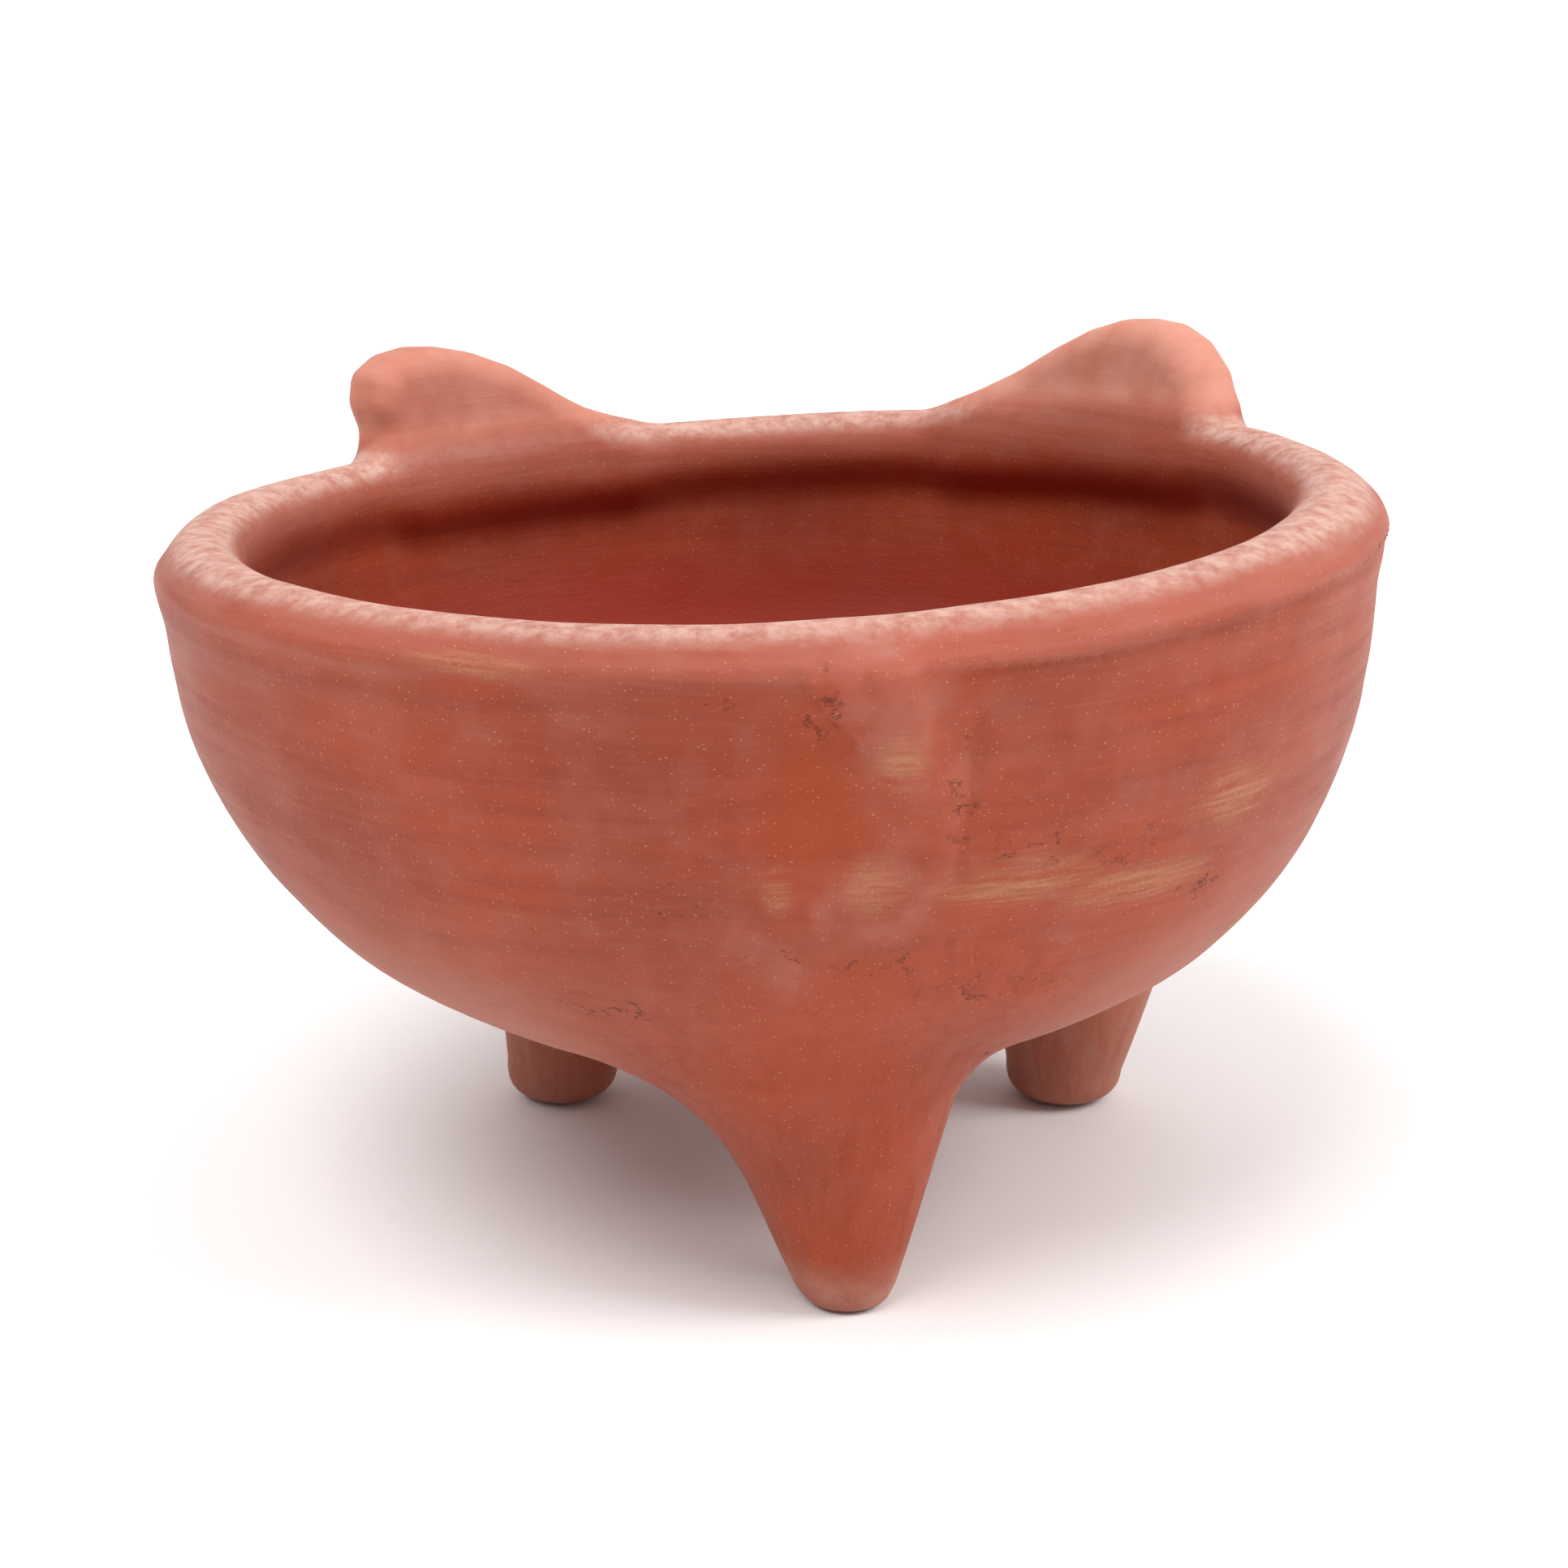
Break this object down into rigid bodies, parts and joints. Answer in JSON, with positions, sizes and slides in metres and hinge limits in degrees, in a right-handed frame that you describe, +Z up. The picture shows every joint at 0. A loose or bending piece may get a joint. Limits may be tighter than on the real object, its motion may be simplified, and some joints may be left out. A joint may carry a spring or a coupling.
{
  "type": "tripod grinding bowl",
  "caption": "Hand-built red clay molcajete: a round coiled bowl on tapered legs, with ear lugs on the rim and a curled tail strip on the wall.",
  "frame": {"origin": "on the table under the bowl's axis, at the bottom centre of the bounding box", "axes": "+Z up; -Y towards the side with the tail strip and the single front leg; +Y towards the side with the ears; +X to the right seen from the tail side"},
  "size_m": [0.1312, 0.1325, 0.0898],
  "materials": {
    "wall_clay": "burnished low-fired red clay, streaked by the polishing stone",
    "rim_clay": "burnished red clay, rubbed pale and dusty on its crest",
    "leg_clay": "red clay, wiped rather than burnished, scuffed at the foot"
  },
  "bodies": {
    "root": {"bowl_base": "wall_clay", "lower_wall_coil": "wall_clay", "middle_wall_coil": "wall_clay", "upper_wall_coil": "wall_clay", "rim_coil": "rim_clay", "front_leg": "leg_clay", "left_leg": "leg_clay", "right_leg": "leg_clay", "front_leg_collar": "leg_clay", "left_leg_collar": "leg_clay", "right_leg_collar": "leg_clay", "left_ear": "rim_clay", "right_ear": "rim_clay", "left_ear_wad": "rim_clay", "right_ear_wad": "rim_clay", "tail_strip": "wall_clay"}
  },
  "joints": []
}
